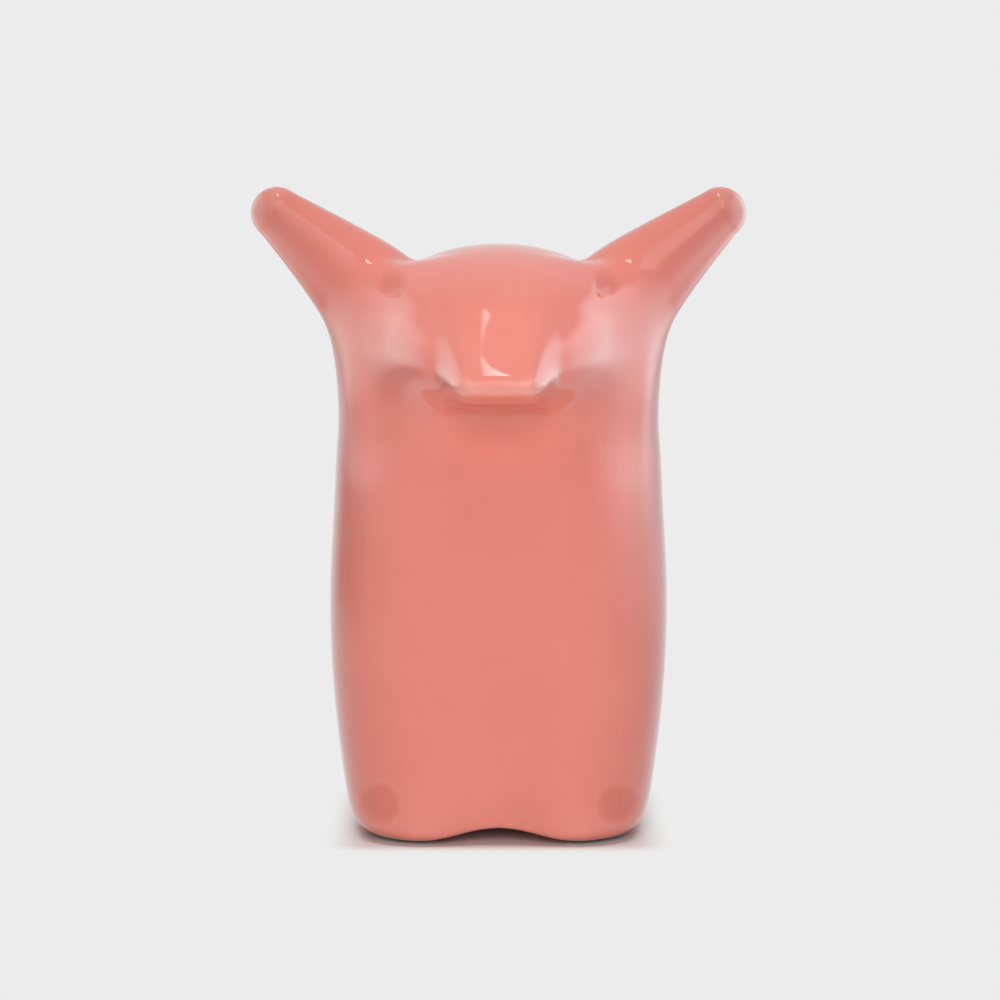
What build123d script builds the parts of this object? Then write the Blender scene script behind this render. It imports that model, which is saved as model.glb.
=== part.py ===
"""Standing ceramic piggy bank: hollow glazed shell, base stopper and four foot pads.

+X is to the viewer's right, the pig faces -Y and +Z is up. The origin is on the
floor, under the middle of the bank's bounding box. All sizes are millimetres.

The shell is one bent tube: level sections climb the torso, then fan about a line
under the chin, and upright sections run out to the tip of the snout.
"""
from build123d import *
import math
import os

# ---- driving dimensions -----------------------------------------------------
WALL = 5.0                  # thickness of the fired clay
FLOOR_TOP = 11.0            # inside surface of the base
HOLLOW_SNOUT_STATIONS = 1   # how many snout stations the hollow inside reaches

PAD_THICKNESS = 0.8
PAD_DIAMETER = 7.0
PAD_EDGE_RADIUS = 0.25
PAD_X = 28.5                # pad centres, from the middle plane
PAD_FRONT_Y = -17.0
PAD_REAR_Y = 41.0

CHIN_Y = -47.0              # the line, parallel to X, that the neck bends about
CHIN_Z = 110.1
FOOT_EDGE_RADIUS = 6.0
FOOT_EDGE_RISES = (0.0, 0.3, 1.2, 2.8, FOOT_EDGE_RADIUS)
LEG_VALLEY_DEPTH = 6.0      # hollow between the legs, front and back
LEG_VALLEY_HALF_WIDTH = 24.0
LEG_VALLEY_TOP = 36.0

ARCH_HEIGHT = 4.4           # gap between the feet, above the floor
ARCH_HALF_SPAN = 25.0
ARCH_REACH = 100.0          # each way from the middle, clear of the body

SLOT_LENGTH = 36.0
SLOT_WIDTH = 5.0
SLOT_MID_Y = 24.0
SLOT_LOW_Z = 140.0          # inside the hollow
SLOT_HIGH_Z = 180.0         # above the dome

HOLE_DIAMETER = 36.0
RECESS_DIAMETER = 45.0
RECESS_ROOF_Z = 6.2
STOPPER_Y = 12.0
STOPPER_CLEARANCE = 0.08    # radial, between rib and hole
FLANGE_DIAMETER = 42.0
FLANGE_THICKNESS = 2.4
FLANGE_CHAMFER = 0.6
FLANGE_GAP = 0.05           # between the flange and the roof of the recess
PLUG_HEIGHT = 8.6
PLUG_WALL = 1.8
PLUG_CHAMFER = 0.8
RIB_DEPTH = 0.7
RIB_FLAT = 0.65             # height of a rib's outer face
RIB_COUNT = 3
PULL_BAR_WIDTH = 3.0
PULL_BAR_ROOT = 0.5         # how far each end of the bar runs into the cup's wall
PULL_BAR_RISE = 1.5         # how far the pull bar stays above the flange's underside

EYE_X = 28.6
EYE_Z = 151.4
EYE_DIAMETER = 6.5
FOOT_DISC_X = 32.1
FOOT_DISC_Z = 11.5
FOOT_DISC_DIAMETER = 10.0
PRESS_DEPTH = 0.5           # how deep the eye and foot discs are pressed in

CONTOUR_POINTS = 28

# Each station is a section of the tube, measured outwards from the chin line:
# place, near side, far side, distance of the widest point, half width,
# squareness of the near half, squareness of the far half.
TORSO = (   # place: height z of a level section
    (0.8, 5.5, 111.0, 59.0, 40.2, 4.0, 4.0),
    (12.0, 4.8, 112.2, 59.0, 42.6, 3.5, 3.6),
    (30.0, 4.2, 113.0, 59.0, 45.0, 3.4, 3.5),
    (50.0, 4.0, 113.5, 59.0, 46.6, 3.2, 3.4),
    (70.0, 4.2, 113.5, 59.0, 46.8, 2.9, 3.2),
    (90.0, 5.4, 113.0, 58.0, 45.8, 2.6, 3.0),
    (110.0, 8.6, 111.0, 56.0, 44.6, 2.5, 2.7),
)
BEND = (    # place: degrees turned about the chin line
    (15.0, 9.2, 104.0, 52.0, 42.4, 2.5, 2.5),
    (30.0, 9.4, 88.5, 46.0, 39.4, 2.3, 2.3),
    (45.0, 9.4, 72.6, 40.0, 35.6, 2.05, 2.1),
    (60.0, 9.2, 57.9, 33.5, 33.4, 2.2, 2.0),
    (75.0, 9.0, 46.5, 28.5, 31.2, 2.8, 2.0),
    (90.0, 9.2, 38.5, 24.4, 29.2, 3.4, 2.0),
)
SNOUT = (   # place: y of an upright section
    (-54.0, 10.0, 33.0, 21.4, 27.0, 3.4, 2.0),
    (-61.0, 10.6, 27.2, 18.8, 24.0, 3.2, 2.0),
    (-66.5, 11.4, 22.8, 17.0, 20.0, 2.8, 2.0),
    (-70.5, 12.6, 19.4, 15.9, 14.6, 2.3, 2.0),
    (-72.5, 13.8, 17.2, 15.3, 9.0, 2.0, 2.0),
    (-73.0, 14.5, 15.8, 15.1, 4.6, 2.0, 2.0),
)


# ---- outlines by formula ----------------------------------------------------
def signed_power(value, exponent):
    return math.copysign(abs(value) ** exponent, value)


def foot_edge_inset(rise):
    """How far the rounded lower edge draws in, at this rise above the foot."""
    below = max(0.0, FOOT_EDGE_RADIUS - rise)
    return FOOT_EDGE_RADIUS - math.sqrt(FOOT_EDGE_RADIUS ** 2 - below ** 2)


def leg_valley(x, z):
    """Depth of the hollow between two legs."""
    if abs(x) > LEG_VALLEY_HALF_WIDTH or z > LEG_VALLEY_TOP:
        return 0.0
    across = 0.5 + 0.5 * math.cos(math.pi * x / LEG_VALLEY_HALF_WIDTH)
    upwards = 0.5 + 0.5 * math.cos(math.pi * z / LEG_VALLEY_TOP)
    return LEG_VALLEY_DEPTH * across * upwards


def section_outline(station, inset):
    """(x, distance) points of one section: two half superellipses back to back."""
    place, near, far, widest, half_width, near_square, far_square = station
    points = []
    for index in range(CONTOUR_POINTS):
        angle = 2.0 * math.pi * index / CONTOUR_POINTS
        outer = math.sin(angle) > 0
        power = 2.0 / (far_square if outer else near_square)
        reach = (far - widest if outer else widest - near) - inset
        x = signed_power(math.cos(angle), power) * (half_width - inset)
        distance = widest + signed_power(math.sin(angle), power) * reach
        points.append((x, distance))
    return points


def closed_face(points):
    """Face inside a smooth closed outline, built as four curves that meet smoothly."""
    count = len(points)
    quarter = count // 4

    def direction(index):
        return (Vector(points[(index + 1) % count]) - Vector(points[index - 1])).normalized()

    edges = []
    for start in range(0, count, quarter):
        run = [points[(start + step) % count] for step in range(quarter + 1)]
        ends = (direction(start), direction((start + quarter) % count))
        edges.append(Spline(*run, tangents=ends))
    return make_face(edges)


def level_section(station, inset, z):
    points = []
    for x, distance in section_outline(station, inset):
        hollow = leg_valley(x, z)
        toward_middle = hollow if distance < station[3] else -hollow
        points.append((x, CHIN_Y + distance + toward_middle, z))
    return closed_face(points)


def fanned_section(station, inset):
    turn = math.radians(station[0])
    points = []
    for x, distance in section_outline(station, inset):
        y = CHIN_Y + distance * math.cos(turn)
        z = CHIN_Z + distance * math.sin(turn)
        points.append((x, y, z))
    return closed_face(points)


def upright_section(station, inset):
    points = []
    for x, distance in section_outline(station, inset):
        points.append((x, station[0], CHIN_Z + distance))
    return closed_face(points)


def between(low, high, z):
    """Station at height z between two torso stations."""
    share = (z - low[0]) / (high[0] - low[0])
    return tuple(a + (b - a) * share for a, b in zip(low, high))


def bent_tube(inset, bottom, snout_count):
    """Torso, dome and snout as one loft that starts at the height bottom."""
    sections = []
    for rise in FOOT_EDGE_RISES:
        z = bottom + rise
        low, high = TORSO[:2] if z < TORSO[1][0] else TORSO[1:3]
        inset_here = inset + foot_edge_inset(rise)
        sections.append(level_section(between(low, high, z), inset_here, z))
    for station in TORSO:
        if station[0] > bottom + FOOT_EDGE_RADIUS:
            sections.append(level_section(station, inset, station[0]))
    sections += [fanned_section(station, inset) for station in BEND]
    sections += [upright_section(station, inset) for station in SNOUT[:snout_count]]
    return loft(sections)


# ---- ears -------------------------------------------------------------------
EAR_Y = -4.0
EAR_STATIONS = (
    # x, z, radius, depth against width: from inside the shoulder to the tip
    (24.0, 128.0, 18.6, 0.90),
    (32.4, 143.9, 16.1, 1.00),
    (44.2, 156.2, 12.1, 1.06),
    (60.8, 170.2, 7.2, 1.00),
)


def ear_section(index, side):
    """Oval section square to the ear's curved centre line."""
    x, z, radius, ratio = EAR_STATIONS[index]
    before = EAR_STATIONS[max(index - 1, 0)]
    after = EAR_STATIONS[min(index + 1, len(EAR_STATIONS) - 1)]
    along = Vector(side * (after[0] - before[0]), 0, after[1] - before[1])
    plane = Plane(origin=(side * x, EAR_Y, z), x_dir=(0, 1, 0), z_dir=along)
    return plane * Ellipse(radius * ratio, radius)


def ear(side):
    """Solid horn: the slip fills the ears right through."""
    return loft([ear_section(index, side) for index in range(len(EAR_STATIONS))])


def ear_tip(side):
    x, z, radius, _ = EAR_STATIONS[-1]
    return Pos(side * x, EAR_Y, z) * Sphere(radius)


# ---- tail -------------------------------------------------------------------
TAIL_Y = 70.0
TAIL_Z = 92.0
TAIL_COIL_RADIUS = 6.5
TAIL_RADIUS = 3.0
TAIL_START = -60.0          # degrees round the curl, from the viewer's right
TAIL_SWEEP = 290.0
TAIL_ROOT_RADIUS = 8.0
TAIL_ROOT_LENGTH = 10.0
TAIL_ROOT_DEPTH = 6.0       # how far the middle of the root lies inside the curl


def tail():
    """One raised curl, half sunk into the back, on a short root."""
    frame = Plane(origin=(0, TAIL_Y, TAIL_Z), x_dir=(1, 0, 0), z_dir=(0, -1, 0))
    curl = frame * CenterArc((0, 0), TAIL_COIL_RADIUS, TAIL_START, TAIL_SWEEP)
    section = Plane(origin=curl @ 0, z_dir=curl % 0) * Circle(TAIL_RADIUS)
    ends = [Pos(curl @ share) * Sphere(TAIL_RADIUS) for share in (0.0, 1.0)]
    root = Rot(90, 0, 0) * Cylinder(TAIL_ROOT_RADIUS, TAIL_ROOT_LENGTH)
    return sweep(section, path=curl) + ends + Pos(0, TAIL_Y - TAIL_ROOT_DEPTH, TAIL_Z) * root


# ---- cutters ----------------------------------------------------------------
def arch_cutter(along_y):
    """Low vault between the feet: an S-curve up, over and down."""
    low = (-ARCH_HALF_SPAN, 0.0)
    crown = (0.0, ARCH_HEIGHT)
    high = (ARCH_HALF_SPAN, 0.0)
    rising = Spline(low, crown, tangents=((1, 0), (1, 0)))
    falling = Spline(crown, high, tangents=((1, 0), (1, 0)))
    face = make_face([rising, falling, Line(high, low)])
    upright = Rot(90, 0, 0) * extrude(face, amount=ARCH_REACH, both=True)
    turn = Rot(0, 0, 0) if along_y else Rot(0, 0, 90)
    return Pos(0, STOPPER_Y, 0) * turn * upright


def coin_slot():
    straight = SLOT_LENGTH - SLOT_WIDTH
    height = SLOT_HIGH_Z - SLOT_LOW_Z
    cutter = Box(SLOT_WIDTH, straight, height)
    for end in (-1, 1):
        cutter += Pos(0, end * straight / 2, 0) * Cylinder(SLOT_WIDTH / 2, height)
    return Pos(0, SLOT_MID_Y, (SLOT_LOW_Z + SLOT_HIGH_Z) / 2) * cutter


def emptying_hole():
    """Round hole in the base, and the recess that takes the stopper's flange."""
    hole = Cylinder(HOLE_DIAMETER / 2, 2 * (FLOOR_TOP + WALL))
    recess = Cylinder(RECESS_DIAMETER / 2, 2 * RECESS_ROOF_Z)
    return Pos(0, STOPPER_Y, 0) * (hole + recess)


def pressed_disc(body, x, z, diameter):
    """Shallow round dent in the front of the body at (x, z), square to the surface."""
    point, normal = body.find_intersection_points(Axis((x, -200.0, z), (0, 1, 0)))[0]
    plane = Plane(origin=point, z_dir=normal)
    return plane * Cylinder(diameter / 2, 2 * PRESS_DEPTH)


# ---- the pieces -------------------------------------------------------------
def outer_form():
    form = bent_tube(0.0, PAD_THICKNESS, len(SNOUT))
    for side in (-1, 1):
        form += ear(side)
        form += ear_tip(side)
    return form + tail()


def ceramic_body():
    outer = outer_form()
    shell = outer - bent_tube(WALL, FLOOR_TOP, HOLLOW_SNOUT_STATIONS)
    shell -= arch_cutter(along_y=True)
    shell -= arch_cutter(along_y=False)
    shell -= coin_slot()
    shell -= emptying_hole()
    for side in (-1, 1):
        shell -= pressed_disc(outer, side * EYE_X, EYE_Z, EYE_DIAMETER)
        shell -= pressed_disc(outer, side * FOOT_DISC_X, FOOT_DISC_Z, FOOT_DISC_DIAMETER)
    return shell


def stopper():
    """Soft bung: flange, ribbed cup that opens downwards, and a bar to pull it by."""
    rib_radius = HOLE_DIAMETER / 2 - STOPPER_CLEARANCE
    core_radius = rib_radius - RIB_DEPTH
    cup_radius = core_radius - PLUG_WALL
    flange_top = RECESS_ROOF_Z - FLANGE_GAP
    flange_bottom = flange_top - FLANGE_THICKNESS
    outline = [
        (0, flange_bottom),
        (FLANGE_DIAMETER / 2 - FLANGE_CHAMFER, flange_bottom),
        (FLANGE_DIAMETER / 2, flange_bottom + FLANGE_CHAMFER),
        (FLANGE_DIAMETER / 2, flange_top - FLANGE_CHAMFER),
        (FLANGE_DIAMETER / 2 - FLANGE_CHAMFER, flange_top),
        (core_radius, flange_top),
    ]
    rib_pitch = PLUG_HEIGHT / (RIB_COUNT + 0.5)
    for index in range(RIB_COUNT):
        base = flange_top + rib_pitch * (index + 0.3)
        flat_base = base + 0.5 * RIB_DEPTH
        flat_top = flat_base + RIB_FLAT
        outline += [(core_radius, base), (rib_radius, flat_base)]
        outline += [(rib_radius, flat_top), (core_radius, flat_top + RIB_DEPTH)]
    top = flange_top + PLUG_HEIGHT
    outline += [(core_radius, top - PLUG_CHAMFER), (core_radius - PLUG_CHAMFER, top), (0, top)]
    solid = revolve(make_face(Plane.XZ * Polyline(*outline, close=True)), Axis.Z)
    cup_depth = top - PLUG_WALL - flange_bottom
    cup = Pos(0, 0, flange_bottom + cup_depth / 2) * Cylinder(cup_radius, cup_depth)
    bar_height = cup_depth - PULL_BAR_RISE
    bar = Box(2 * (cup_radius + PULL_BAR_ROOT), PULL_BAR_WIDTH, bar_height)
    bar = Pos(0, 0, top - PLUG_WALL - bar_height / 2) * bar
    return Pos(0, STOPPER_Y, 0) * (solid - cup + bar)


def foot_pad(x, y):
    pad = Pos(x, y, PAD_THICKNESS / 2) * Cylinder(PAD_DIAMETER / 2, PAD_THICKNESS)
    return fillet(pad.edges().group_by(Axis.Z)[0], PAD_EDGE_RADIUS)


def write(shape, name):
    export_step(shape, f"parts/{name}.step")


os.makedirs("parts", exist_ok=True)
write(ceramic_body(), "ceramic_body")
write(stopper(), "stopper")
for row, pad_y in (("front", PAD_FRONT_Y), ("rear", PAD_REAR_Y)):
    for hand, pad_side in (("left", -1), ("right", 1)):
        write(foot_pad(pad_side * PAD_X, pad_y), f"foot_pad_{row}_{hand}")
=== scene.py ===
"""Looks for the standing ceramic piggy bank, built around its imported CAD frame.

The glazed shell is made as a distance field (torso and snout, ears, tail, blended
where the clay runs together), meshed once and shaded with the field's own normals.
Lengths inside the field are millimetres; every Blender object is in metres.
"""
import itertools
import math

import bpy
import numpy as np
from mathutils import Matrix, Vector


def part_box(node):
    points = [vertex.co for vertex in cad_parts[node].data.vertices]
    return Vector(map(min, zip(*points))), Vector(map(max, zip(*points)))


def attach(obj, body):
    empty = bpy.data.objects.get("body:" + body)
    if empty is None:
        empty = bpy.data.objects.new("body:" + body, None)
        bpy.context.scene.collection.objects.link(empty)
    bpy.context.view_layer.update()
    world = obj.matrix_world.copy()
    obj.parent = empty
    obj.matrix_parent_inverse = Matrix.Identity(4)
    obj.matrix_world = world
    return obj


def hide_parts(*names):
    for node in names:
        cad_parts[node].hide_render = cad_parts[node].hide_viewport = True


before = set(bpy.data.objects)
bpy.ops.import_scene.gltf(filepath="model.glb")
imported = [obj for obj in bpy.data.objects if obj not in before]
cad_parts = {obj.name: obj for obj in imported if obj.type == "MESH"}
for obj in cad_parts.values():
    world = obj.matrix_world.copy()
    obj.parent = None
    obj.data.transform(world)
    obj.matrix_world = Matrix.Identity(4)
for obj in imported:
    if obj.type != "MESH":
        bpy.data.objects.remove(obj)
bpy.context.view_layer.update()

import openvdb as vdb
from mathutils import Vector

MM = 0.001
body_low, body_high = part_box("ceramic_body")

# ---- shape of the shell, in millimetres ---------------------------------------
CHIN_Y = -47.0
CHIN_Z = 110.1
FOOT_Z = body_low[2] / MM
FOOT_EDGE_RADIUS = 6.0
LEG_VALLEY = dict(depth=6.0, half_width=24.0, top=36.0)
WALL = 5.0
FLOOR_TOP = 11.0
HOLLOW_FRONT = -38.0
ARCH_HEIGHT = 4.4
ARCH_HALF_SPAN = 25.0
SLOT = dict(length=36.0, width=5.0, y=24.0, low=127.0)
HOLE_RADIUS = 18.0
RECESS_RADIUS = 22.5
RECESS_ROOF = 6.2
STOPPER_Y = 12.0
EYE = dict(x=28.6, z=151.4, radius=3.25, depth=0.25)
FOOT_DISC = dict(x=32.1, z=11.5, radius=5.0, depth=0.5)

# Rows of the three tables: the section's place, then near and far side, widest place,
# half width, and the squareness of its near and far half. Sides are measured back from
# CHIN_Y in TORSO, out from the chin line in BEND, and up from CHIN_Z in SNOUT.
# TORSO's places are heights, BEND's are degrees round the chin line, SNOUT's are y.
TORSO = (
    (0.8, 5.5, 111.0, 59.0, 40.2, 4.0, 4.0),
    (12.0, 4.8, 112.2, 59.0, 42.6, 3.5, 3.6),
    (30.0, 4.2, 113.0, 59.0, 45.0, 3.4, 3.5),
    (50.0, 4.0, 113.5, 59.0, 46.6, 3.2, 3.4),
    (70.0, 4.2, 113.5, 59.0, 46.8, 2.9, 3.2),
    (90.0, 5.4, 113.0, 58.0, 45.8, 2.6, 3.0),
    (110.0, 8.6, 111.0, 56.0, 44.6, 2.5, 2.7),
)
BEND = (
    (15.0, 9.2, 104.0, 52.0, 42.4, 2.5, 2.5),
    (30.0, 9.4, 88.5, 46.0, 39.4, 2.3, 2.3),
    (45.0, 9.4, 72.6, 40.0, 35.6, 2.05, 2.1),
    (60.0, 9.2, 57.9, 33.5, 33.4, 2.2, 2.0),
    (75.0, 9.0, 46.5, 28.5, 31.2, 2.8, 2.0),
    (90.0, 9.2, 38.5, 24.4, 29.2, 3.4, 2.0),
)
SNOUT = (
    (-54.0, 10.0, 33.0, 21.4, 27.0, 3.4, 2.0),
    (-61.0, 10.6, 27.2, 18.8, 24.0, 3.2, 2.0),
    (-66.5, 11.4, 22.8, 17.0, 20.0, 2.8, 2.0),
    (-70.5, 12.6, 19.4, 15.9, 14.6, 2.3, 2.0),
    (-72.5, 13.8, 17.2, 15.3, 9.0, 2.0, 2.0),
    (-73.0, 14.5, 15.8, 15.1, 4.6, 2.0, 2.0),
)
EAR_Y = -4.0
EAR = (
    # x, z, radius, depth against width
    (24.0, 128.0, 18.6, 0.90),
    (32.4, 143.9, 16.1, 1.00),
    (44.2, 156.2, 12.1, 1.06),
    (60.8, 170.2, 7.2, 1.00),
)
TAIL = dict(y=70.0, z=92.0, coil=6.5, radius=3.0)

# How the ears run into the head: a wide blend, tight on the crest, wider at the face.
EAR_BLEND = 16.0
EAR_BLEND_CREST = 13.0      # taken off on the crest
EAR_BLEND_FACE = 12.0       # added at the face
EAR_SMOOTHING = 3.0
# Width of the soft edge round each cut, and round the tail's root.
SOFT = dict(tail=2.5, vault=2.5, recess=1.5, hole=1.2, slot=2.2, hollow=6.0, wall=1.0)
HOLE_ROOF = FLOOR_TOP + 4.0

CHEEK_BOX = ((-54.0, 54.0), (-78.0, 0.0), (84.0, 164.0))
CHEEK_SPREAD = 8.5
BODY_VOXEL = 1.1
BUNG_VOXEL = 0.4
TUBE_ROWS = 520
HOLLOW_KEEP = 0.62          # share of the hollow's mesh that is kept

# ---- light, as radiance -----------------------------------------------------------
PAPER = 0.838       # the pale surroundings, as the camera and the gloss see them
AMBIENT = 0.10
KEY = 9.2
TOP = 2.7
SHADE_CORE = (0.034, 0.046, 0.0)    # half extents, in metres, that the shade surrounds
SHADE_FADE = (0.001, 0.014)         # distance from there over which it ends


# ---- curves and lofted meshes ---------------------------------------------------
def natural_spline(knots, values, samples):
    """Natural cubic spline through rows of values at the knots."""
    knots = np.asarray(knots, float)
    values = np.asarray(values, float)
    count = len(knots)
    step = np.diff(knots)
    system = np.eye(count)
    right = np.zeros_like(values)
    for i in range(1, count - 1):
        system[i, i - 1] = step[i - 1]
        system[i, i] = 2.0 * (step[i - 1] + step[i])
        system[i, i + 1] = step[i]
        slope_after = (values[i + 1] - values[i]) / step[i]
        slope_before = (values[i] - values[i - 1]) / step[i - 1]
        right[i] = 6.0 * (slope_after - slope_before)
    bend = np.linalg.solve(system, right.reshape(count, -1)).reshape(values.shape)
    cell = np.clip(np.searchsorted(knots, samples) - 1, 0, count - 2)
    width = step[cell]
    after = (samples - knots[cell]) / width
    before = 1.0 - after
    shape = (-1,) + (1,) * (values.ndim - 1)
    after, before, width = after.reshape(shape), before.reshape(shape), width.reshape(shape)
    cubic = ((before ** 3 - before) * bend[cell] + (after ** 3 - after) * bend[cell + 1]) * width ** 2 / 6.0
    return before * values[cell] + after * values[cell + 1] + cubic


def superellipse(near, far, widest, half_width, near_square, far_square, inset, count=224):
    angle = np.linspace(0.0, 2.0 * np.pi, count, endpoint=False)
    cosine, sine = np.cos(angle), np.sin(angle)
    outer = sine > 0
    power = 2.0 / np.where(outer, far_square, near_square)
    reach = np.where(outer, far - widest, widest - near) - inset
    x = np.sign(cosine) * np.abs(cosine) ** power * (half_width - inset)
    distance = widest + np.sign(sine) * np.abs(sine) ** power * reach
    return x, distance


def leg_valley(x, z):
    """Depth of the hollow between two legs, front and back."""
    across = 0.5 + 0.5 * np.cos(np.pi * np.clip(np.abs(x) / LEG_VALLEY["half_width"], 0, 1))
    upwards = 0.5 + 0.5 * np.cos(np.pi * np.clip(z / LEG_VALLEY["top"], 0, 1))
    return LEG_VALLEY["depth"] * across * upwards


def level_ring(station, z, inset):
    x, distance = superellipse(*station[1:], inset)
    hollow = leg_valley(x, z) * np.where(distance < station[3], 1.0, -1.0)
    return np.stack([x, CHIN_Y + distance + hollow, np.full_like(x, z)], axis=1)


def fanned_ring(station):
    x, distance = superellipse(*station[1:], 0.0)
    turn = math.radians(station[0])
    return np.stack([x, CHIN_Y + distance * math.cos(turn), CHIN_Z + distance * math.sin(turn)], axis=1)


def upright_ring(station):
    x, distance = superellipse(*station[1:], 0.0)
    return np.stack([x, np.full_like(x, station[0]), CHIN_Z + distance], axis=1)


def station_between(z):
    heights = [s[0] for s in TORSO]
    return tuple(np.interp(z, heights, [s[i] for s in TORSO]) for i in range(7))


def tube_rings():
    rings = []
    for rise in (0.0, 0.25, 0.9, 2.1, 3.9, FOOT_EDGE_RADIUS):
        z = FOOT_Z + rise
        below = FOOT_EDGE_RADIUS - rise
        inset = FOOT_EDGE_RADIUS - math.sqrt(FOOT_EDGE_RADIUS ** 2 - below ** 2)
        rings.append(level_ring(station_between(z), z, inset))
    rings += [level_ring(s, s[0], 0.0) for s in TORSO if s[0] > FOOT_Z + FOOT_EDGE_RADIUS]
    rings += [fanned_ring(s) for s in BEND]
    rings += [upright_ring(s) for s in SNOUT]
    return np.array(rings)


def loft_surface(rings, rows):
    """Dense closed mesh through the rings: (points, triangles)."""
    gaps = np.linalg.norm(np.diff(rings, axis=0), axis=2).mean(axis=1)
    knots = np.concatenate([[0.0], np.cumsum(np.sqrt(gaps))])
    samples = np.linspace(0.0, knots[-1], rows)
    grid = natural_spline(knots, rings, samples)
    return skin(grid)


def skin(grid):
    rows, count, _ = grid.shape
    index = np.arange(rows * count).reshape(rows, count)
    right = np.roll(index, -1, axis=1)
    a, b, c, d = index[:-1], right[:-1], right[1:], index[1:]
    halves = [np.stack(half, -1).reshape(-1, 3) for half in ((a, b, c), (a, c, d))]
    triangles = np.concatenate(halves)
    points = grid.reshape(-1, 3)
    caps = []
    for row, flip in ((0, True), (rows - 1, False)):
        centre = len(points)
        points = np.vstack([points, grid[row].mean(axis=0)])
        ring, after = index[row], right[row]
        fan = np.stack([np.full(count, centre), ring, after], -1)
        caps.append(fan[:, ::-1] if flip else fan)
    return points, np.concatenate([triangles] + caps)


def swept_surface(path, radii, ratio, rows=160, count=96, up=(0.0, 1.0, 0.0)):
    """Round-ended horn along a path; ratio stretches its sections along up."""
    path = np.asarray(path, float)
    gaps = np.linalg.norm(np.diff(path, axis=0), axis=1)
    knots = np.concatenate([[0.0], np.cumsum(gaps)])
    tip = radii[-1]
    length = knots[-1] + tip
    samples = length * (1.0 - (1.0 - np.linspace(0.0, 1.0, rows)) ** 2)
    inside = np.minimum(samples, knots[-1])
    centre = natural_spline(knots, path, inside)
    ahead = natural_spline(knots, path, np.minimum(inside + 0.01, knots[-1]))
    behind = natural_spline(knots, path, np.maximum(np.minimum(inside + 0.01, knots[-1]) - 0.02, 0.0))
    along = ahead - behind
    along /= np.linalg.norm(along, axis=1, keepdims=True)
    over = np.maximum(samples - knots[-1], 0.0)
    centre = centre + along * over[:, None]
    radius = natural_spline(knots, np.asarray(radii, float), inside)
    radius = np.where(over > 0, np.sqrt(np.maximum(tip ** 2 - over ** 2, 1e-4)), radius)
    stretch = natural_spline(knots, np.asarray(ratio, float), inside)
    side = np.cross(along, np.array(up))
    side /= np.linalg.norm(side, axis=1, keepdims=True)
    lift = np.cross(side, along)
    angle = np.linspace(0.0, 2.0 * np.pi, count, endpoint=False)
    grid = (centre[:, None] + side[:, None] * (np.cos(angle) * radius[:, None])[:, :, None]
            + lift[:, None] * (np.sin(angle) * (radius * stretch)[:, None])[:, :, None])
    return skin(grid)


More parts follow.
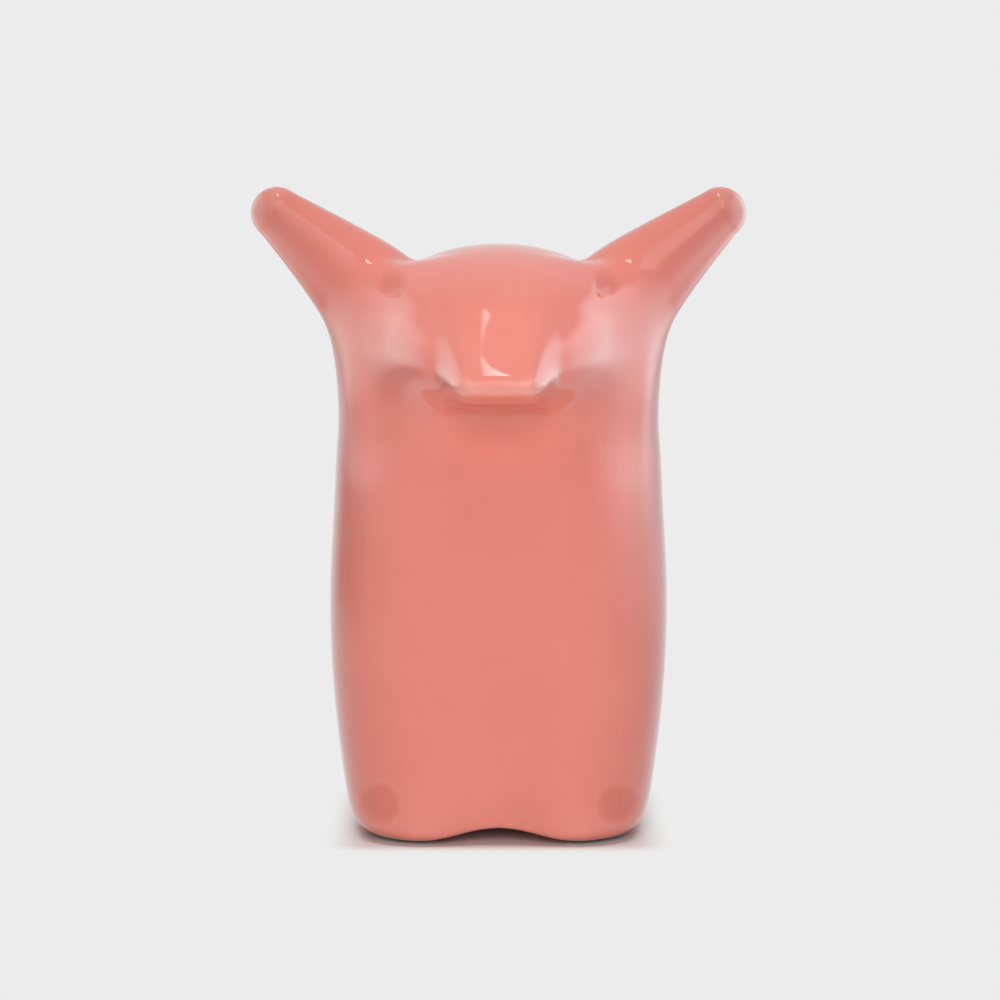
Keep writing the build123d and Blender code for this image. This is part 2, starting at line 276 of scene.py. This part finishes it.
# ---- distance fields ------------------------------------------------------------
class Grid:
    """Even lattice of samples through a box, in millimetres."""

    def __init__(self, low, high, voxel):
        self.low = np.array(low, float)
        self.voxel = voxel
        self.shape = tuple(np.ceil((np.array(high) - self.low) / voxel).astype(int) + 1)
        self.x, self.y, self.z = (self.axis(i) for i in range(3))

    def axis(self, i):
        values = self.low[i] + self.voxel * np.arange(self.shape[i])
        shape = [1, 1, 1]
        shape[i] = -1
        return values.reshape(shape).astype(np.float32)

    def distance(self, surface, reach_out, reach_in):
        """Signed distance to a closed mesh, exact within the two reaches."""
        points, triangles = surface
        grid = vdb.FloatGrid.createLevelSetFromPolygons(
            (points - self.low).astype(np.float32),
            triangles=triangles.astype(np.uint32),
            transform=vdb.createLinearTransform(voxelSize=self.voxel),
            exBandWidth=reach_out / self.voxel,
            inBandWidth=reach_in / self.voxel)
        field = np.full(self.shape, reach_out, np.float32)
        grid.copyToArray(field, ijk=(0, 0, 0))
        return field

    def soften(self, field, spread):
        """Gaussian blur by repeated three-point averages; spread is in millimetres."""
        for _ in range(round(2.0 * (spread / self.voxel) ** 2)):
            for axis in range(3):
                ends = np.pad(field, [(1, 1) if i == axis else (0, 0) for i in range(3)], mode="edge")
                before = np.take(ends, range(0, field.shape[axis]), axis)
                after = np.take(ends, range(2, field.shape[axis] + 2), axis)
                field = 0.5 * field + 0.25 * (before + after)
        return field

    def sample(self, field, points):
        """Value and gradient of a field at points, by cubic B-splines."""
        place = (points - self.low) / self.voxel
        base = np.floor(place).astype(int)
        near = (place - base)[:, :, None]
        far = 1.0 - near
        weight = np.concatenate([far ** 3, 3 * near ** 3 - 6 * near ** 2 + 4,
                                 3 * far ** 3 - 6 * far ** 2 + 4, near ** 3], axis=2) / 6
        slant = np.concatenate([-far ** 2, 3 * near ** 2 - 4 * near,
                                4 * far - 3 * far ** 2, near ** 2], axis=2) / 2
        value = np.zeros(len(points))
        slope = np.zeros((len(points), 3))
        for i, j, k in itertools.product(range(4), repeat=3):
            at = field[base[:, 0] + i - 1, base[:, 1] + j - 1, base[:, 2] + k - 1]
            wx, wy, wz = weight[:, 0, i], weight[:, 1, j], weight[:, 2, k]
            value += at * wx * wy * wz
            slope[:, 0] += at * slant[:, 0, i] * wy * wz
            slope[:, 1] += at * wx * slant[:, 1, j] * wz
            slope[:, 2] += at * wx * wy * slant[:, 2, k]
        return value, slope / self.voxel

    def normals(self, field, points):
        slope = self.sample(field, points)[1]
        return slope / np.linalg.norm(slope, axis=1, keepdims=True)

    def mesh(self, field):
        """Points and outward-facing quads of the surface where the field is nought."""
        grid = vdb.FloatGrid()
        grid.copyFromArray(field)
        points, quads = grid.convertToQuads(isovalue=0.0)
        points = points.astype(float) * self.voxel + self.low
        for _ in range(4):
            value, slope = self.sample(field, points)
            steepness = np.maximum((slope ** 2).sum(1), 0.04)
            move = -(value / steepness)[:, None] * slope
            length = np.linalg.norm(move, axis=1, keepdims=True)
            points += move * np.minimum(1.0, 0.5 * self.voxel / np.maximum(length, 1e-9))
        a, b, c = (points[quads[:, i]] for i in range(3))
        outward = self.normals(field, a)
        if (np.cross(b - a, c - a) * outward).sum() < 0:
            quads = quads[:, ::-1]
        return points, quads


def smooth_min(a, b, k):
    h = np.maximum(k - np.abs(a - b), 0.0) / k
    return np.minimum(a, b) - h * h * h * k / 6.0


def smooth_max(a, b, k):
    return -smooth_min(-a, -b, k)


def ramp(value, low, high):
    share = np.clip((value - low) / (high - low), 0.0, 1.0)
    return share * share * (3.0 - 2.0 * share)


BODY_GRID = Grid((-74.0, -78.0, -5.0), (74.0, 78.0, 186.0), BODY_VOXEL)


def ear_surface(side):
    path = [(side * x, EAR_Y, z) for x, z, _, _ in EAR]
    radii = [radius for _, _, radius, _ in EAR]
    ratios = [ratio for _, _, _, ratio in EAR]
    return swept_surface(path, radii, ratios)


def tail_surface():
    turns = np.radians(np.linspace(-60, 230, 24))
    coil = TAIL["coil"]
    path = [(coil * math.cos(t), TAIL["y"], TAIL["z"] + coil * math.sin(t)) for t in turns]
    radii = np.linspace(TAIL["radius"], TAIL["radius"] * 0.75, len(path))
    return swept_surface(path, radii, np.ones(len(path)))


def arch_height(offset):
    share = np.clip(np.abs(offset) / ARCH_HALF_SPAN, 0.0, 1.0)
    return ARCH_HEIGHT * (0.5 + 0.5 * np.cos(np.pi * share))


def pressed(grid, disc):
    """Share of the pressing at each place, for the two discs of a pair."""
    away = np.sqrt((np.abs(grid.x) - disc["x"]) ** 2 + (grid.z - disc["z"]) ** 2)
    return (1.0 - ramp(away, disc["radius"] - 0.5, disc["radius"] + 0.5)) * (grid.y < 0.0)


def outer_field(grid, tube):
    """The clay's outside: the tube with the ears and the tail run into it."""
    left, right = (grid.distance(ear_surface(side), reach_out=44.0, reach_in=8.0) for side in (-1, 1))
    ears = np.minimum(left, right)
    crest = ramp(grid.z, 140.0, 155.0) * (1.0 - ramp(-grid.y, 8.0, 22.0))
    blend = EAR_BLEND - EAR_BLEND_CREST * crest + EAR_BLEND_FACE * ramp(-grid.y, 8.0, 26.0)
    outer = smooth_min(tube, ears, blend)
    shared = ramp(1.0 - np.abs(tube - ears) / blend, 0.0, 0.4)
    shared = shared * (1.0 - crest)
    outer = outer + shared * (grid.soften(outer, EAR_SMOOTHING) - outer)
    run_cheeks_in(grid, outer)
    tail = grid.distance(tail_surface(), reach_out=8.0, reach_in=4.0)
    return smooth_min(outer, tail, SOFT["tail"])


def run_cheeks_in(grid, field):
    """Smooth the field, in place, under each cheek but not on the snout's middle."""
    part = tuple(slice(*np.clip(np.searchsorted(values.ravel(), limits), 0, size))
                 for values, limits, size in zip((grid.x, grid.y, grid.z), CHEEK_BOX, grid.shape))
    x, y, z = grid.x[part[0]], grid.y[:, part[1]], grid.z[:, :, part[2]]
    across = ramp(np.abs(x), 7.5, 17.0) * (1.0 - ramp(np.abs(x), 30.0, 43.0))
    share = across * ramp(-y, 14.0, 26.0) * ramp(z, 96.0, 110.0) * (1.0 - ramp(z, 143.0, 154.0))
    block = field[part]
    field[part] = block + share * (grid.soften(block, CHEEK_SPREAD) - block)


def slot_field(grid):
    """Negative inside the coin slot, which has round ends."""
    half = (SLOT["length"] - SLOT["width"]) / 2
    beyond = np.maximum(np.abs(grid.y - SLOT["y"]) - half, 0.0)
    slot = np.sqrt(grid.x ** 2 + beyond ** 2) - SLOT["width"] / 2
    return np.maximum(slot, SLOT["low"] - grid.z)


def hollow_field(grid, tube):
    """Negative inside the hollow, which ends above the floor and short of the snout."""
    hollow = smooth_max(tube + WALL, FLOOR_TOP - grid.z, SOFT["hollow"])
    return smooth_max(hollow, HOLLOW_FRONT - grid.y, SOFT["hollow"])


def shell_field(grid, tube):
    """The whole shell: outside, foot arches, base hole, slot and hollow."""
    shell = outer_field(grid, tube)
    for disc in (EYE, FOOT_DISC):
        shell = shell + disc["depth"] * pressed(grid, disc)
    vault = np.maximum(arch_height(grid.x), arch_height(grid.y - STOPPER_Y)) - grid.z
    shell = smooth_max(shell, vault, SOFT["vault"])
    from_hole = np.sqrt(grid.x ** 2 + (grid.y - STOPPER_Y) ** 2)
    recess = np.maximum(from_hole - RECESS_RADIUS, grid.z - RECESS_ROOF)
    shell = smooth_max(shell, -recess, SOFT["recess"])
    hole = np.maximum(from_hole - HOLE_RADIUS, grid.z - HOLE_ROOF)
    shell = smooth_max(shell, -hole, SOFT["hole"])
    shell = smooth_max(shell, -slot_field(grid), SOFT["slot"])
    return smooth_max(shell, -hollow_field(grid, tube), SOFT["wall"])


# ---- pieces ----------------------------------------------------------------------
def new_object(name, points, faces, normals=None):
    mesh = bpy.data.meshes.new(name)
    mesh.from_pydata(points.tolist(), [], faces.tolist())
    mesh.update()
    mesh.shade_smooth()
    if normals is not None:
        mesh.normals_split_custom_set_from_vertices(normals.tolist())
    piece = bpy.data.objects.new(name, mesh)
    bpy.context.scene.collection.objects.link(piece)
    return piece


def thin_out(piece, chosen, keep):
    """Collapse the chosen vertices' mesh to this share, and leave the rest alone."""
    group = piece.vertex_groups.new(name="inside")
    group.add(np.flatnonzero(chosen).tolist(), 1.0, "REPLACE")
    modifier = piece.modifiers.new("thin_out", "DECIMATE")
    modifier.ratio = keep
    modifier.vertex_group = group.name
    modifier.vertex_group_factor = 10.0
    view = bpy.context.evaluated_depsgraph_get()
    view.update()
    fine = piece.data
    piece.data = bpy.data.meshes.new_from_object(piece.evaluated_get(view))
    piece.data.name = fine.name
    piece.modifiers.clear()
    piece.vertex_groups.clear()
    bpy.data.meshes.remove(fine)


def vertex_points(piece):
    flat = np.zeros(3 * len(piece.data.vertices))
    piece.data.vertices.foreach_get("co", flat)
    return flat.reshape(-1, 3)


def add_attribute(piece, name, values):
    layer = piece.data.attributes.new(name, "FLOAT", "POINT")
    layer.data.foreach_set("value", np.asarray(values, np.float32))


def glazed_shell():
    """The shell, with where its clay is bare, its relief and its pressed marks, which the glaze paints darker
    as a painted reflection.
    """
    grid = BODY_GRID
    tube = grid.distance(loft_surface(tube_rings(), TUBE_ROWS), reach_out=44.0, reach_in=12.0)
    field = shell_field(grid, tube)
    points, quads = grid.mesh(field)
    piece = new_object("glazed_shell", points * MM, quads)
    hollow = hollow_field(grid, tube)
    thin_out(piece, grid.sample(hollow, points)[0] < 0.2, HOLLOW_KEEP)
    points = vertex_points(piece) / MM
    normals = grid.normals(field, points)
    piece.data.shade_smooth()
    piece.data.normals_split_custom_set_from_vertices(normals.tolist())
    inside = 1.0 - ramp(grid.sample(hollow, points)[0], 1.0, 2.4)
    wiped = 1.0 - ramp(points[:, 2] - FOOT_Z, 0.25, 0.9)
    from_hole = np.hypot(points[:, 0], points[:, 1] - STOPPER_Y)
    under = (points[:, 2] < FLOOR_TOP) * (1.0 - ramp(from_hole, RECESS_RADIUS + 0.5, RECESS_RADIUS + 3.5))
    add_attribute(piece, "bare", np.maximum.reduce([inside, wiped, under]))
    add_attribute(piece, "relief", grid.sample(grid.soften(field, 1.5) - field, points)[0])
    # Mask of the painted reflection: the pressed eyes and foot discs, painted darker in the glaze.
    marks = pressed(grid, EYE) + pressed(grid, FOOT_DISC)
    add_attribute(piece, "pressed", grid.sample(marks.astype(np.float32), points)[0])
    return piece


BUNG = dict(
    flange_radius=21.0, flange_low=3.75, flange_high=6.15, top=14.75,
    rib_radius=17.92, core_radius=17.22, cup_radius=15.42, cup_roof=12.95,
    bar_low=5.25, bar_half=1.5, rib_pitch=8.6 / 3.5)


def rounded(across, along, radius):
    """Distance to a corner between two faces, with this radius on its edge."""
    outside = np.sqrt(np.maximum(across + radius, 0.0) ** 2 + np.maximum(along + radius, 0.0) ** 2)
    return outside + np.minimum(np.maximum(across, along) + radius, 0.0) - radius


def bung_field(grid):
    """Flanged, ribbed cup that opens downwards, with a bar across it to pull by."""
    b = BUNG
    from_axis = np.sqrt(grid.x ** 2 + (grid.y - STOPPER_Y) ** 2)
    middle = (b["flange_low"] + b["flange_high"]) / 2
    half = b["flange_high"] - middle
    flange = rounded(from_axis - b["flange_radius"], np.abs(grid.z - middle) - half, 0.9)
    core = np.maximum(rounded(from_axis - b["core_radius"], grid.z - b["top"], 1.1), middle - grid.z)
    for index in range(3):
        height = b["flange_high"] + b["rib_pitch"] * (index + 0.3) + 0.7
        rib = rounded(from_axis - b["rib_radius"], np.abs(grid.z - height) - 0.62, 0.45)
        core = smooth_min(core, rib, 0.9)
    solid = smooth_min(flange, core, 0.8)
    lip = np.sqrt((from_axis - 18.3) ** 2 + (grid.z - b["flange_low"] + 0.25) ** 2) - 0.62
    cup = rounded(from_axis - b["cup_radius"], grid.z - b["cup_roof"], 1.6)
    solid = smooth_max(solid, -lip, 0.5)
    solid = smooth_max(solid, -cup, 0.9)
    bar = rounded(np.abs(grid.y - STOPPER_Y) - b["bar_half"], b["bar_low"] - grid.z, 0.8)
    bar = np.maximum(bar, np.maximum(grid.z - b["cup_roof"] - 0.4, from_axis - b["cup_radius"] - 0.4))
    return smooth_min(solid, bar, 1.2)


def bung_moulding():
    """Moulded stopper in the base hole."""
    reach = BUNG["flange_radius"] + 2.0
    grid = Grid((-reach, STOPPER_Y - reach, 1.5), (reach, STOPPER_Y + reach, 17.0), BUNG_VOXEL)
    field = bung_field(grid)
    points, quads = grid.mesh(field)
    piece = new_object("bung_moulding", points * MM, quads, grid.normals(field, points))
    finish(piece, bung_material(), "bung", "stopper")


def pad_disc(row, hand):
    """Die-cut rubber pad: a shallow disc with a soft lower edge and a dished middle."""
    node = f"foot_pad_{row}_{hand}"
    low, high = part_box(node)
    centre = np.array([(low[0] + high[0]) / 2, (low[1] + high[1]) / 2, 0.0])
    radius = (high[0] - low[0]) / 2
    edge = 0.25 * MM
    bend = np.radians(np.linspace(-90, 0, 7))
    profile = [(0.0, low[2] + 0.05 * MM), (0.55 * radius, low[2] + 0.05 * MM), (0.62 * radius, low[2])]
    profile += [(radius - edge + edge * math.cos(t), low[2] + edge + edge * math.sin(t)) for t in bend]
    profile += [(radius, high[2]), (0.6 * radius, high[2])]
    turns = np.linspace(0.0, 2.0 * np.pi, 72, endpoint=False)
    rings = [[(r * math.cos(t), r * math.sin(t), z) for t in turns] for r, z in profile[1:]]
    points, triangles = skin(np.array(rings))
    points[-2, 2] = profile[0][1]
    piece = new_object(f"pad_{row}_{hand}", points + centre, triangles)
    return piece, node


def finish(piece, material, body, node):
    piece.data.materials.append(material)
    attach(piece, body)
    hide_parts(node)


# ---- materials ------------------------------------------------------------------
class Graph:
    """A material's node tree, built by naming each node's inputs."""

    def __init__(self, name):
        self.material = bpy.data.materials.new(name)
        self.material.use_nodes = True
        self.tree = self.material.node_tree
        self.shader = self.tree.nodes["Principled BSDF"]

    def node(self, kind, *, out=0, inputs=None, **settings):
        node = self.tree.nodes.new("ShaderNode" + kind)
        for name, value in settings.items():
            setattr(node, name, value)
        for name, value in (inputs or {}).items():
            self.feed(node.inputs[name], value)
        return node.outputs[out]

    def feed(self, socket, value):
        if isinstance(value, bpy.types.NodeSocket):
            self.tree.links.new(value, socket)
        else:
            socket.default_value = value

    def place(self):
        return self.node("TexCoord", out="Object")

    def noise(self, scale, detail=2.0, roughness=0.5):
        inputs = {"Vector": self.place(), "Scale": scale, "Detail": detail, "Roughness": roughness}
        return self.node("TexNoise", inputs=inputs)

    def between(self, value, low, high, to_low=0.0, to_high=1.0):
        inputs = {"Value": value, "From Min": low, "From Max": high, "To Min": to_low, "To Max": to_high}
        return self.node("MapRange", inputs=inputs, interpolation_type="SMOOTHSTEP")

    def mix(self, share, low, high):
        """Colour from low to high; the RGBA sockets are numbers 6 and 7, the result 2."""
        return self.node("Mix", out=2, inputs={0: share, 6: low, 7: high}, data_type="RGBA")

    def math(self, operation, a, b=0.0):
        return self.node("Math", inputs={0: a, 1: b}, operation=operation)

    def vector(self, operation, a, b=(0.0, 0.0, 0.0)):
        return self.node("VectorMath", inputs={0: a, 1: b}, operation=operation)

    def surface(self):
        """The output that a shader other than the usual one goes to."""
        if self.shader:
            self.tree.nodes.remove(self.shader)
            self.shader = None
        return self.tree.nodes["Material Output"].inputs["Surface"]

    def attribute(self, name):
        return self.node("Attribute", out="Fac", attribute_name=name)

    def bump(self, height, distance, strength=1.0, under=None):
        inputs = {"Height": height, "Distance": distance, "Strength": strength}
        if under is not None:
            inputs["Normal"] = under
        return self.node("Bump", inputs=inputs)

    def specks(self, scale, size, rarity):
        """Small round specks: 1 inside a speck, in a share of the cells."""
        cell = self.node("TexVoronoi", inputs={"Vector": self.place(), "Scale": scale}).node
        dot = self.between(cell.outputs["Distance"], size, 0.4 * size)
        luck = self.node("SeparateColor", inputs={"Color": cell.outputs["Color"]})
        chosen = self.math("GREATER_THAN", luck, rarity)
        return self.math("MULTIPLY", dot, chosen)


GLAZE = (0.80, 0.232, 0.18, 1.0)
GLAZE_DEEPER = (0.785, 0.218, 0.168, 1.0)
# Pooled glaze in hollows, and also painted reflection: the dark colour painted on the pressed eyes and foot
# discs.
GLAZE_POOLED_AND_PAINTED_REFLECTION = (0.70, 0.166, 0.120, 1.0)
GLAZE_THIN = (0.86, 0.36, 0.29, 1.0)
GLAZE_SPECK = (0.42, 0.10, 0.07, 1.0)
BISQUE = (0.72, 0.60, 0.50, 1.0)
BISQUE_DUSTY = (0.60, 0.50, 0.42, 1.0)


def glaze_material():
    """Pink gloss glaze on pale clay; bare clay inside and under the feet; painted reflection darkens the
    pressed eyes and foot discs.
    """
    g = Graph("pink_glaze")
    cloud = g.noise(38.0, 3.0)
    colour = g.mix(g.between(cloud, 0.35, 0.65), GLAZE, GLAZE_DEEPER)
    relief = g.attribute("relief")
    colour = g.mix(g.between(relief, 0.12, 0.62, 0.0, 0.75), colour, GLAZE_THIN)
    colour = g.mix(g.between(relief, -0.08, -0.55, 0.0, 0.7), colour, GLAZE_POOLED_AND_PAINTED_REFLECTION)
    # Painted reflection: the pressed eyes and foot discs are painted darker, standing in for the dark
    # reflection the glaze shows on them.
    colour = g.mix(g.math("MULTIPLY", g.attribute("pressed"), 0.8), colour, GLAZE_POOLED_AND_PAINTED_REFLECTION)
    specks = g.specks(210.0, 0.055, 0.93)
    colour = g.mix(g.math("MULTIPLY", specks, 0.6), colour, GLAZE_SPECK)
    clay = g.mix(g.between(g.noise(160.0, 4.0, 0.6), 0.35, 0.7), BISQUE, BISQUE_DUSTY)
    ragged = g.math("ADD", g.attribute("bare"), g.between(g.noise(420.0, 3.0), 0.3, 0.7, -0.22, 0.22))
    bare = g.between(ragged, 0.42, 0.58)
    g.feed(g.shader.inputs["Base Color"], g.mix(bare, colour, clay))
    gloss = g.between(g.noise(90.0, 2.0), 0.3, 0.7, 0.055, 0.075)
    rough = g.node("Mix", inputs={0: bare, 2: gloss, 3: 0.85})
    g.feed(g.shader.inputs["Roughness"], rough)
    g.shader.inputs["IOR"].default_value = 1.5
    peel = g.bump(g.noise(260.0, 1.0), 0.00002, 0.35)
    pits = g.bump(g.math("MULTIPLY", g.specks(300.0, 0.05, 0.95), -1.0), 0.00006, 0.6, peel)
    grain = g.bump(g.math("MULTIPLY", g.noise(2200.0, 3.0, 0.7), bare), 0.00012, 0.8, pits)
    g.feed(g.shader.inputs["Normal"], grain)
    return g.material


def bung_material():
    """Soft translucent-looking white plastic with a fine moulded grain."""
    g = Graph("bung_plastic")
    tone = g.between(g.noise(120.0, 3.0), 0.3, 0.7)
    colour = g.mix(tone, (0.74, 0.72, 0.68, 1.0), (0.69, 0.67, 0.62, 1.0))
    scuffs = g.between(g.noise(900.0, 4.0, 0.7), 0.58, 0.8, 0.0, 0.35)
    colour = g.mix(scuffs, colour, (0.46, 0.43, 0.38, 1.0))
    g.feed(g.shader.inputs["Base Color"], colour)
    g.feed(g.shader.inputs["Roughness"], g.between(g.noise(300.0), 0.3, 0.7, 0.38, 0.52))
    g.feed(g.shader.inputs["Normal"], g.bump(g.noise(3200.0, 2.0), 0.00004, 0.6))
    return g.material


def pad_material():
    """Matt black foam rubber with open pores along its cut edge."""
    g = Graph("pad_rubber")
    tone = g.between(g.noise(700.0, 3.0), 0.3, 0.7)
    g.feed(g.shader.inputs["Base Color"], g.mix(tone, (0.040, 0.036, 0.036, 1.0), (0.066, 0.060, 0.058, 1.0)))
    g.feed(g.shader.inputs["Roughness"], g.between(g.noise(500.0), 0.3, 0.7, 0.72, 0.92))
    pores = g.math("MULTIPLY", g.specks(2400.0, 0.42, 0.35), -1.0)
    g.feed(g.shader.inputs["Normal"], g.bump(pores, 0.00010, 0.7))
    return g.material


# ---- stage ----------------------------------------------------------------------
def panel(name, centre, target, width, height, radiance):
    """Soft light that lights the clay but doesn't show in the glaze."""
    light = bpy.data.lights.new(name, "AREA")
    light.shape = "RECTANGLE"
    light.size = width
    light.size_y = height
    light.energy = radiance * width * height * math.pi
    lamp = bpy.data.objects.new(name, light)
    lamp.location = centre
    aim = Vector(target) - Vector(centre)
    lamp.rotation_euler = aim.to_track_quat("-Z", "Y").to_euler()
    lamp.visible_camera = False
    lamp.visible_glossy = False
    bpy.context.scene.collection.objects.link(lamp)


def stage_sheet(piece, seen_by, tint=(1.0, 1.0, 1.0)):
    """Put a sheet on the stage that only one kind of ray meets; without a glow it is black."""
    g = Graph(piece.name)
    strength = g.attribute("glow") if "glow" in piece.data.attributes else 0.0
    inputs = {"Color": (*tint, 1.0), "Strength": strength}
    g.feed(g.surface(), g.node("Emission", inputs=inputs))
    piece.data.materials.append(g.material)
    for kind in ("camera", "diffuse", "glossy", "transmission", "shadow"):
        setattr(piece, "visible_" + kind, kind == seen_by)


def sheet_faces(rows, columns):
    index = np.arange(rows * columns).reshape(rows, columns)
    corners = (index[:-1, :-1], index[:-1, 1:], index[1:, 1:], index[1:, :-1])
    return np.stack(corners, -1).reshape(-1, 4)


def card(name, near, far, distance, top, glow, tint=(1.0, 1.0, 1.0)):
    """Curved studio card beside the object, between two turns from the front."""
    turns = np.linspace(near, far, 41)
    levels = np.linspace(0.0, top, 61)
    points = [(distance * math.sin(math.radians(t)), -distance * math.cos(math.radians(t)), z)
              for z in levels for t in turns]
    piece = new_object(name, np.array(points), sheet_faces(len(levels), len(turns)))
    add_attribute(piece, "glow", [glow(t, z) for z in levels for t in turns])
    stage_sheet(piece, "glossy", tint)


def shade(name, near, far, low, high, y):
    """Upright black flag that keeps part of the key light off an ear."""
    points = np.array([(x, y, z) for z in (low, high) for x in (near, far)])
    piece = new_object(name, points, sheet_faces(2, 2))
    stage_sheet(piece, "shadow")


def skylight(height, corners):
    """Small bright window overhead: (x, y, radiance) of its three corners."""
    points = np.array([(x, y, height) for x, y, _ in corners])
    piece = new_object("skylight", points, np.array([[0, 1, 2]]))
    add_attribute(piece, "glow", [radiance for _, _, radiance in corners])
    stage_sheet(piece, "glossy")


def fade(value, low, high):
    return float(ramp(np.float64(value), low, high))


def left_glow(turn, z):
    """Bright above the chest's height; below it a dimmer patch that ends before the legs."""
    turn = abs(turn)
    lit = fade(turn, 54, 90) * (1.0 - fade(turn, 106, 130))
    lit = lit * fade(z, 0.088, 0.130) * (1.0 - fade(z, 0.20, 0.27))
    dim = fade(turn, 76, 92) * (1.0 - fade(turn, 118, 140))
    dim = dim * fade(z, 0.04, 0.07) * (1.0 - fade(z, 0.09, 0.11))
    return PAPER + 1.5 * lit - 0.45 * dim


def right_glow(turn, z):
    """Bright above the chest's height, and faintly lit below it."""
    lit = 1.9 * fade(z, 0.078, 0.125) + 0.4 * fade(z, 0.03, 0.09)
    return PAPER + lit * fade(turn, 46, 84) * (1.0 - fade(turn, 110, 138)) * (1.0 - fade(z, 0.22, 0.29))


def front_glow(turn, z):
    """Soft box above the camera, which only the ears and the brow turn towards."""
    across = fade(turn, -50, -20) * (1.0 - fade(turn, 40, 65)) * (0.4 + 0.6 * fade(turn, -20, 15))
    return PAPER + 1.4 * across * fade(z, 0.42, 0.75) * (1.0 - fade(z, 1.5, 2.1))


def paper_material():
    """Pale paper that only shows shade close round the feet."""
    g = Graph("floor_paper")
    middle = ((body_low[0] + body_high[0]) / 2, STOPPER_Y * MM, 0.0)
    place = g.node("NewGeometry", out="Position")
    apart = g.vector("SUBTRACT", place, middle)
    beyond = g.vector("MAXIMUM", g.vector("SUBTRACT", g.vector("ABSOLUTE", apart), SHADE_CORE), (0, 0, 0))
    reach = g.node("VectorMath", out="Value", inputs={0: beyond}, operation="LENGTH")
    diffuse = g.node("BsdfDiffuse", inputs={"Color": (0.9, 0.9, 0.9, 1.0)})
    glow = g.node("Emission", inputs={"Color": (PAPER, PAPER, PAPER, 1.0)})
    share = g.between(reach, *SHADE_FADE)
    g.feed(g.surface(), g.node("MixShader", inputs={0: share, 1: diffuse, 2: glow}))
    return g.material


def pale_world():
    """Pale surroundings for the camera and the gloss, and a dimmer fill for the clay."""
    world = bpy.data.worlds.new("studio")
    world.use_nodes = True
    nodes, links = world.node_tree.nodes, world.node_tree.links
    fill = nodes["Background"]
    fill.inputs["Color"].default_value = (AMBIENT, AMBIENT, AMBIENT, 1.0)
    pale = nodes.new("ShaderNodeBackground")
    pale.inputs["Color"].default_value = (PAPER, PAPER, PAPER, 1.0)
    path = nodes.new("ShaderNodeLightPath")
    seen = nodes.new("ShaderNodeMath")
    seen.operation = "MAXIMUM"
    mix = nodes.new("ShaderNodeMixShader")
    links.new(path.outputs["Is Camera Ray"], seen.inputs[0])
    links.new(path.outputs["Is Glossy Ray"], seen.inputs[1])
    links.new(seen.outputs[0], mix.inputs[0])
    links.new(fill.outputs[0], mix.inputs[1])
    links.new(pale.outputs[0], mix.inputs[2])
    links.new(mix.outputs[0], nodes["World Output"].inputs["Surface"])
    bpy.context.scene.world = world


def add_floor():
    size = 12.0
    corners = np.array([(-size, -size, 0), (size, -size, 0), (-size, size, 0), (size, size, 0)])
    floor = new_object("floor", corners, sheet_faces(2, 2))
    floor.data.materials.append(paper_material())


def add_lights():
    middle = (0.0, 0.0, 0.09)
    panel("key_light", (0.0, -1.55, 0.50), middle, width=0.7, height=0.6, radiance=KEY)
    panel("top_light", (0.0, -0.1, 1.3), middle, width=1.2, height=1.2, radiance=TOP)
    card("left_card", -50, -150, 0.135, 0.34, left_glow)
    card("right_card", 42, 150, 0.15, 0.38, right_glow, (0.95, 0.98, 1.06))
    card("front_card", -55, 70, 1.0, 2.2, front_glow)
    for side, name in ((-1, "left_shade"), (1, "right_shade")):
        shade(name, near=side * 0.050, far=side * 0.140, low=0.165, high=0.300, y=-0.15)
    skylight(1.15, ((-0.085, -0.16, 4.0), (0.080, -0.16, 14.0), (-0.080, 0.125, 4.0)))


def add_camera():
    """Long lens, a little above the object and looking straight at its front."""
    data = bpy.data.cameras.new("camera")
    distance = 1.15
    frame_width = 0.2769
    data.sensor_width = 36.0
    data.lens = data.sensor_width * distance / frame_width
    data.clip_end = 20.0
    camera = bpy.data.objects.new("camera", data)
    elevation = math.radians(4.5)
    target = Vector((0.0004, 0.0, 0.0908))
    camera.location = target + distance * Vector((0.0, -math.cos(elevation), math.sin(elevation)))
    camera.rotation_euler = (math.pi / 2 - elevation, 0.0, 0.0)
    bpy.context.scene.collection.objects.link(camera)
    bpy.context.scene.camera = camera


finish(glazed_shell(), glaze_material(), "bank", "ceramic_body")
bung_moulding()
rubber = pad_material()
for row in ("front", "rear"):
    for hand in ("left", "right"):
        piece, node = pad_disc(row, hand)
        finish(piece, rubber, "bank", node)
bpy.context.scene.view_settings.view_transform = "Standard"
pale_world()
add_floor()
add_lights()
add_camera()
